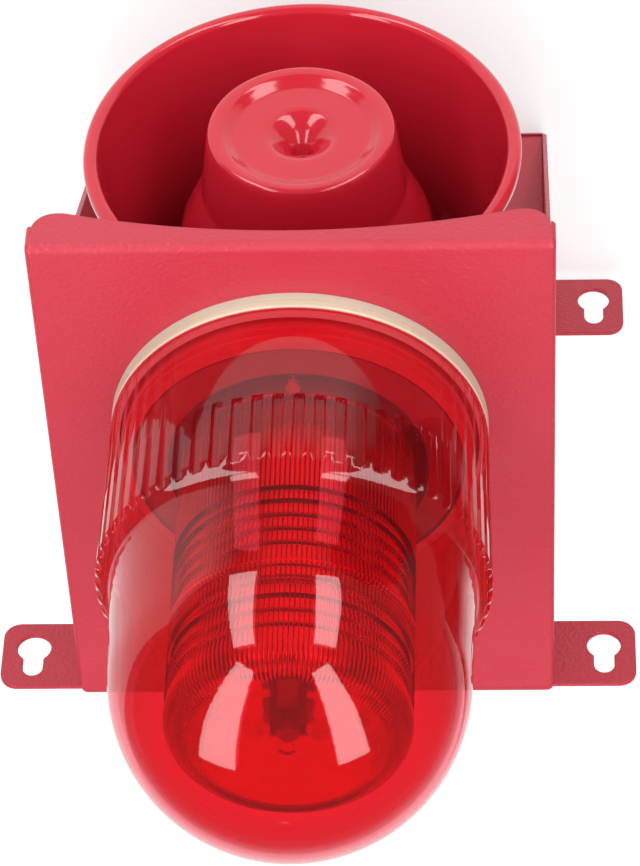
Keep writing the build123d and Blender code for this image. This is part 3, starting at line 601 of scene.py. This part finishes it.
globe = piece(
    "globe_lens", lathe(globe_profile(), groove_columns(), grooved), BEACON, "globe", "red_lens", 62
)
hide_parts("globe")


# ================================================================ thread on the base's neck
def neck_thread():
    """A closed helical ridge with a rounded crest, standing on the neck."""
    bm = bmesh.new()
    count = int((THREAD_END - THREAD_START) / THREAD_PITCH * THREAD_TURN_STEPS)
    half = THREAD_WIDTH / 2
    crest = THREAD_WIDTH / 6
    section = [
        (-THREAD_ROOT, -half), (0, -half), (THREAD_HEIGHT, -crest), (THREAD_HEIGHT, crest),
        (0, half), (-THREAD_ROOT, half),
    ]
    rings = []
    for i in range(count + 1):
        angle = tau * i / THREAD_TURN_STEPS
        z = THREAD_START + THREAD_PITCH * i / THREAD_TURN_STEPS
        fade = min(1.0, i / THREAD_FADE_STEPS, (count - i) / THREAD_FADE_STEPS)
        ring = []
        for out, up in section:
            r = NECK_R + (out * fade if out > 0 else out)
            ring.append(bm.verts.new((r * cos(angle), r * sin(angle), z + up)))
        rings.append(ring)
    for lower, upper in zip(rings, rings[1:]):
        for a in range(len(section)):
            b = (a + 1) % len(section)
            bm.faces.new((lower[a], lower[b], upper[b], upper[a]))
    bm.faces.new(rings[0])
    bm.faces.new(list(reversed(rings[-1])))
    return bm


piece("neck_thread", neck_thread(), BEACON, "housing", "cream_plastic", 50)


# ================================================================ inner drum lens
def drum_radius(radius, height, angle):
    """Radius of the drum with fine upright ribs on its inner face."""
    ribbed = DRUM_BOTTOM + DRUM_RIB_FOOT < height < DRUM_TOP - DRUM_ROOF + 0.1
    if not DRUM_RIB_END_R < radius < DRUM_IN_R + 0.2 or not ribbed:
        return radius
    return radius - DRUM_RIB_DEPTH * abs(sin(angle * DRUM_RIBS / 2))


def drum_profile():
    """Closed wall of the drum: foot, prism rows with a band between, rounded corner and roof."""
    foot_top = DRUM_BOTTOM + DRUM_FOOT_HEIGHT
    outside = [(DRUM_IN_R, DRUM_BOTTOM), (DRUM_FOOT_R, DRUM_BOTTOM), (DRUM_FOOT_R, foot_top)]
    outside += [(DRUM_R, level) for level in (foot_top, *DRUM_LEVELS)]
    for first, count in PRISM_ROWS:
        for prism in range(count):
            level = first + PRISM_PITCH * prism
            outside += [(DRUM_R - depth, level + up) for depth, up in PRISM_CORNERS]
        if first == PRISM_ROWS[0][0]:
            outside += [
                (DRUM_R, DRUM_BAND[0]), (DRUM_BAND_R, DRUM_BAND[0]),
                (DRUM_BAND_R, DRUM_BAND[1]), (DRUM_R, DRUM_BAND[1]),
            ]
    corner = (DRUM_R - DRUM_CORNER_R, DRUM_TOP - DRUM_CORNER_R)
    outside += arc(corner, DRUM_CORNER_R, 0, 90, 12)
    # faint turning rings round the gate mark in the roof
    for ring in ROOF_RINGS:
        outside += [
            (ring, DRUM_TOP), (ring - ROOF_RING_WIDTH / 2, DRUM_TOP - ROOF_RING_DEPTH),
            (ring - ROOF_RING_WIDTH, DRUM_TOP),
        ]
    outside += [(radius, DRUM_TOP - depth) for radius, depth in ROOF_GATE]
    inside = [(0, DRUM_TOP - DRUM_ROOF)]
    inside += arc(corner, DRUM_CORNER_R - DRUM_ROOF, 90, 0, 10)
    inside += [(DRUM_IN_R, level) for level in DRUM_IN_LEVELS]
    # the ribs end in a step just above the foot
    rib_foot = DRUM_BOTTOM + DRUM_RIB_FOOT
    inside += [(DRUM_IN_R, rib_foot + DRUM_RIB_STEP), (DRUM_IN_R, rib_foot - DRUM_RIB_STEP)]
    return outside + inside


drum = piece(
    "drum_lens", lathe(drum_profile(), even_angles(DRUM_RIBS * 6), drum_radius),
    BEACON, "housing", "red_lens", 20,
)
drum.data.materials[0] = prism_finish
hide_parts("fresnel_lens")


# ================================================================ horn
def bell_profile():
    """Closed wall of the bell, from the rim down the inside and back up the outside."""
    rim = arc((MOUTH_R - MOUTH_ROUND, MOUTH - MOUTH_ROUND), MOUTH_ROUND, 0, 180, 12)
    inside = smooth_line(
        [
            (MOUTH_R - 2 * MOUTH_ROUND, MOUTH - MOUTH_ROUND), *BELL_INSIDE,
            (BELL_BACK_R, BELL_FLOOR + BELL_BACK_CORNER),
        ],
        10,
    )
    foot_r = BELL_BACK_R + BELL_WALL
    flange_back = BELL_BACK - HORN_FLANGE
    back = [
        (BELL_BACK_R - BELL_BACK_CORNER, BELL_FLOOR), (BELL_FLOOR_R, BELL_FLOOR),
        (THROAT_R, BELL_FLOOR), (THROAT_R, BELL_BACK), (HORN_SPIGOT_R, BELL_BACK),
        (HORN_SPIGOT_R, flange_back), (HORN_FLANGE_R, flange_back),
        (HORN_FLANGE_R, BELL_BACK - HORN_FLANGE_EDGE),
        (HORN_FLANGE_R - HORN_FLANGE_EDGE, BELL_BACK),
    ]
    foot = [(foot_r + out, BELL_BACK + up) for out, up in BELL_FOOT]
    lip = [(MOUTH_R - inward, MOUTH - down) for inward, down in BELL_LIP]
    outside = foot[:1] + smooth_line([foot[1], *BELL_OUTSIDE, *lip], 10)
    return rim + inside[1:] + back + outside


bell = piece(
    "horn_bell_skin", lathe(bell_profile(), even_angles(240)), HORN, "housing", "red_plastic", 40
)
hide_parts("horn_bell")


def cup_profile():
    """Closed wall of the cup: rear edge, flare, nose, dished face, funnel and inside."""
    def beside_plug(step):
        return (PLUG_R + step[0], PLUG_FACE - step[1])

    outside = smooth_line(
        [(CUP_BACK_R, CUP_BACK), *CUP_OUTSIDE, beside_plug(CUP_SHOULDER)], 10
    )
    outside += straight(beside_plug(PLUG_SIDE[0]), beside_plug(PLUG_SIDE[1]), 5)
    outside += smooth_line([(PLUG_R - inward, PLUG_FACE - back) for inward, back in NOSE], 6)
    face = PLUG_FACE - DISH
    outside += straight((DISH_FLAT_R[0], face), (DISH_FLAT_R[1], face), 3)
    outside += smooth_line([(radius, face - depth) for radius, depth in FUNNEL], 7)
    outside += [(radius, face - depth) for radius, depth in FUNNEL_TIP]
    inside = [(radius, face - depth) for radius, depth in FUNNEL_INSIDE]
    inside += smooth_line(
        [beside_plug(PLUG_IN), *CUP_INSIDE, (CUP_BACK_R - CUP_WALL, CUP_BACK)], 8
    )
    return outside + inside


cup = piece(
    "horn_cup_skin", lathe(cup_profile(), even_angles(240)), HORN, "housing", "red_plastic", 40
)


def cup_legs():
    """Three webbed legs between the bell's back wall and the cup."""
    bm = bmesh.new()
    post = [(LEG_R, BELL_FLOOR), (LEG_R, LEG_END), (0, LEG_END), (0, BELL_FLOOR)]
    web_place = Matrix.Translation((0, 0, (BELL_FLOOR + LEG_END) / 2))
    for leg in range(LEGS):
        turned = Matrix.Rotation(tau * (0.25 + leg / LEGS), 4, "Z")
        turned = turned @ Matrix.Translation((LEG_AT_R, 0, 0))
        web = bmesh.new()
        bmesh.ops.create_cube(web, size=1.0)
        web.transform(web_place @ Matrix.Diagonal((*LEG_WEB, 1)))
        for part in (lathe(post, even_angles(32)), web):
            part.transform(turned)
            scratch = bpy.data.meshes.new("leg_scratch")
            part.to_mesh(scratch)
            part.free()
            bm.from_mesh(scratch)
            bpy.data.meshes.remove(scratch)
    return bm


legs = piece("horn_cup_legs", cup_legs(), HORN, "housing", "red_plastic", 35)
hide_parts("horn_cup")
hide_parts("horn_cup")


# ================================================================ floor, lights, camera, metres
FLOOR_HALF = 6.0
FLOOR_GAP = 0.0002         # the floor and the paper lie just under the part's lowest point
PAPER_GAP = 0.0001
PAPER_LOW = (-0.32, -0.43)
PAPER_HIGH = (0.75, 0.75)
FLOOR_GLOW = 0.50
PAPER_GLOW = 0.95
PAPER_FADES = (((0.978, 0.21, 0), -0.25, -0.17), ((0, 1, 0), -0.43, -0.34))
# each light: its centre from the dome's centre, its width and height vectors, its radiance
MIRRORED_LIGHTS = {
    "front_strip_right": (
        (0.399, -0.830, -0.121), (0.204, 0.099, -0.062), (0.063, -0.158, 0.805), 5.2,
    ),
    "front_strip_left": (
        (-0.386, -0.874, -0.131), (0.196, -0.104, 0.050), (-0.050, -0.045, 0.809), 5.2,
    ),
    "top_panel_right": (
        (0.700, -0.639, 0.834), (0.278, 0.049, -0.268), (-0.145, 1.669, -0.083), 5.2,
    ),
    "top_panel_left": (
        (-0.596, -0.554, 0.799), (0.251, -0.014, 0.220), (-0.033, 1.405, 0.045), 5.2,
    ),
}
UNMIRRORED_LIGHTS = {
    "overhead_fill": ((0, -0.9, 2.3), (3, 0, 0), (0, 2.6, 1.0), 1.7),
    "rear_fill": ((0, 1.3, 1.6), (3, 0, 0), (0, 1.56, -1.26), 1.8),
}
ROOM_BRIGHT = 1.0
ROOM_DIM = 0.2
BRIGHT_SIDE = (0, 0.75, -0.66)
BRIGHT_FROM = 0.6          # cosines to BRIGHT_SIDE between which the room brightens
BRIGHT_FULL = 0.85
CAMERA_AT = (-0.05197, -0.83759, 0.76992)
CAMERA_RIGHT = Vector((-0.99888, 0.03958, -0.02596))
CAMERA_UP = Vector((-0.00818, -0.68456, -0.72891))
FOCAL_LENGTH = 163.98      # millimetres, on a sensor 36 mm tall
SENSOR = 36.0


def flat_stage(name, low, high, height, finish):
    """A level rectangle between two (x, y) corners that isn't part of the object."""
    mesh = bpy.data.meshes.new(name)
    corners = [(low[0], low[1]), (high[0], low[1]), (high[0], high[1]), (low[0], high[1])]
    mesh.from_pydata([(x, y, height) for x, y in corners], [], [(0, 1, 2, 3)])
    made = bpy.data.objects.new(name, mesh)
    bpy.context.scene.collection.objects.link(made)
    made.data.materials.append(finish)
    return made


def glow(finish, strength, fades=()):
    """Makes a finish give off white light, faded in along each (direction, start, end)."""
    tree = finish.node_tree
    shader = tree.nodes["Principled BSDF"]
    shader.inputs["Emission Color"].default_value = (1, 1, 1, 1)
    shader.inputs["Emission Strength"].default_value = strength
    if not fades:
        return
    place = tree.nodes.new("ShaderNodeTexCoord")
    level = None
    for direction, start, end in fades:
        along = tree.nodes.new("ShaderNodeVectorMath")
        along.operation = "DOT_PRODUCT"
        along.inputs[1].default_value = direction
        tree.links.new(place.outputs["Object"], along.inputs[0])
        most = strength if level is None else 1
        share = spread(tree, along.outputs["Value"], 0, most, start, end)
        if level is None:
            level = share
            continue
        both = tree.nodes.new("ShaderNodeMath")
        both.operation = "MULTIPLY"
        tree.links.new(level, both.inputs[0])
        tree.links.new(share, both.inputs[1])
        level = both.outputs["Value"]
    tree.links.new(level, shader.inputs["Emission Strength"])


def see_through_from_below(finish):
    """Makes a level rectangle's lower face clear, for a camera that looks up at the object."""
    tree = finish.node_tree
    side = tree.nodes.new("ShaderNodeNewGeometry")
    passing = tree.nodes.new("ShaderNodeBsdfTransparent")
    mixed = tree.nodes.new("ShaderNodeMixShader")
    tree.links.new(side.outputs["Backfacing"], mixed.inputs["Fac"])
    tree.links.new(tree.nodes["Principled BSDF"].outputs["BSDF"], mixed.inputs[1])
    tree.links.new(passing.outputs["BSDF"], mixed.inputs[2])
    tree.links.new(mixed.outputs["Shader"], tree.nodes["Material Output"].inputs["Surface"])


# the floor lights the object without showing in its gloss, which mirrors the paper instead
floor_finish = surface("pale_floor", (0.46, 0.46, 0.46), (0.44, 0.44, 0.44), 0.85, 2.0)
glow(floor_finish, FLOOR_GLOW)
see_through_from_below(floor_finish)
floor = flat_stage(
    "studio_floor", (-FLOOR_HALF, -FLOOR_HALF), (FLOOR_HALF, FLOOR_HALF), floor_level - FLOOR_GAP,
    floor_finish,
)
floor.visible_glossy = False
paper_finish = surface("white_paper", (0.02, 0.02, 0.02), (0.01, 0.01, 0.01), 0.9, 2.0)
glow(paper_finish, PAPER_GLOW, PAPER_FADES)
paper = flat_stage("mirrored_paper", PAPER_LOW, PAPER_HIGH, floor_level - PAPER_GAP, paper_finish)
paper.visible_camera = False
paper.visible_diffuse = False
paper.visible_transmission = False
paper.visible_shadow = False


def soft_box(name, centre, width, height, radiance, mirrored):
    """A studio light at centre, a rectangle spanned by a width and a height vector.

    One that isn't mirrored lights the object without showing in its gloss."""
    data = bpy.data.lights.new(name, "AREA")
    data.shape = "RECTANGLE"
    data.size = width.length
    data.size_y = height.length
    data.energy = radiance * pi * data.size * data.size_y
    lamp = bpy.data.objects.new(name, data)
    bpy.context.scene.collection.objects.link(lamp)
    up = height.normalized()
    back = width.cross(height).normalized()
    turned = Matrix((up.cross(back), up, back)).transposed().to_4x4()
    lamp.matrix_world = Matrix.Translation(centre) @ turned
    lamp.visible_camera = False
    lamp.visible_glossy = mirrored


dome = Vector((beacon_centre.x, beacon_centre.y, shelf_top + DOME_CENTRE * MM))
for lights, mirrored in ((MIRRORED_LIGHTS, True), (UNMIRRORED_LIGHTS, False)):
    for name, (offset, width, height, radiance) in lights.items():
        soft_box(name, dome + Vector(offset), Vector(width), Vector(height), radiance, mirrored)


def studio_world():
    """A dim room, bright behind and below the object, that the camera sees as plain white."""
    world = bpy.data.worlds.new("studio")
    bpy.context.scene.world = world
    world.use_nodes = True
    tree = world.node_tree
    place = tree.nodes.new("ShaderNodeTexCoord")
    towards = tree.nodes.new("ShaderNodeVectorMath")
    towards.operation = "DOT_PRODUCT"
    towards.inputs[1].default_value = BRIGHT_SIDE
    tree.links.new(place.outputs["Generated"], towards.inputs[0])
    level = spread(
        tree, towards.outputs["Value"], ROOM_DIM, ROOM_BRIGHT, BRIGHT_FROM, BRIGHT_FULL
    )
    backdrop = tree.nodes.new("ShaderNodeMix")
    seen = tree.nodes.new("ShaderNodeLightPath")
    tree.links.new(seen.outputs["Is Camera Ray"], backdrop.inputs["Factor"])
    tree.links.new(level, backdrop.inputs["A"])
    backdrop.inputs["B"].default_value = 1.0
    background = tree.nodes["Background"]
    background.inputs["Color"].default_value = (1, 1, 1, 1)
    tree.links.new(backdrop.outputs["Result"], background.inputs["Strength"])


studio_world()

camera_data = bpy.data.cameras.new("camera")
camera = bpy.data.objects.new("camera", camera_data)
bpy.context.scene.collection.objects.link(camera)
camera_back = CAMERA_RIGHT.cross(CAMERA_UP).normalized()
camera_up = camera_back.cross(CAMERA_RIGHT)
camera.matrix_world = (
    Matrix.Translation(CAMERA_AT)
    @ Matrix((CAMERA_RIGHT, camera_up, camera_back)).transposed().to_4x4()
)
camera_data.sensor_fit = "AUTO"
camera_data.sensor_width = SENSOR
camera_data.lens = FOCAL_LENGTH
camera_data.clip_start = 0.05
camera_data.clip_end = 30.0
bpy.context.scene.camera = camera
bpy.context.scene.view_settings.view_transform = "Standard"
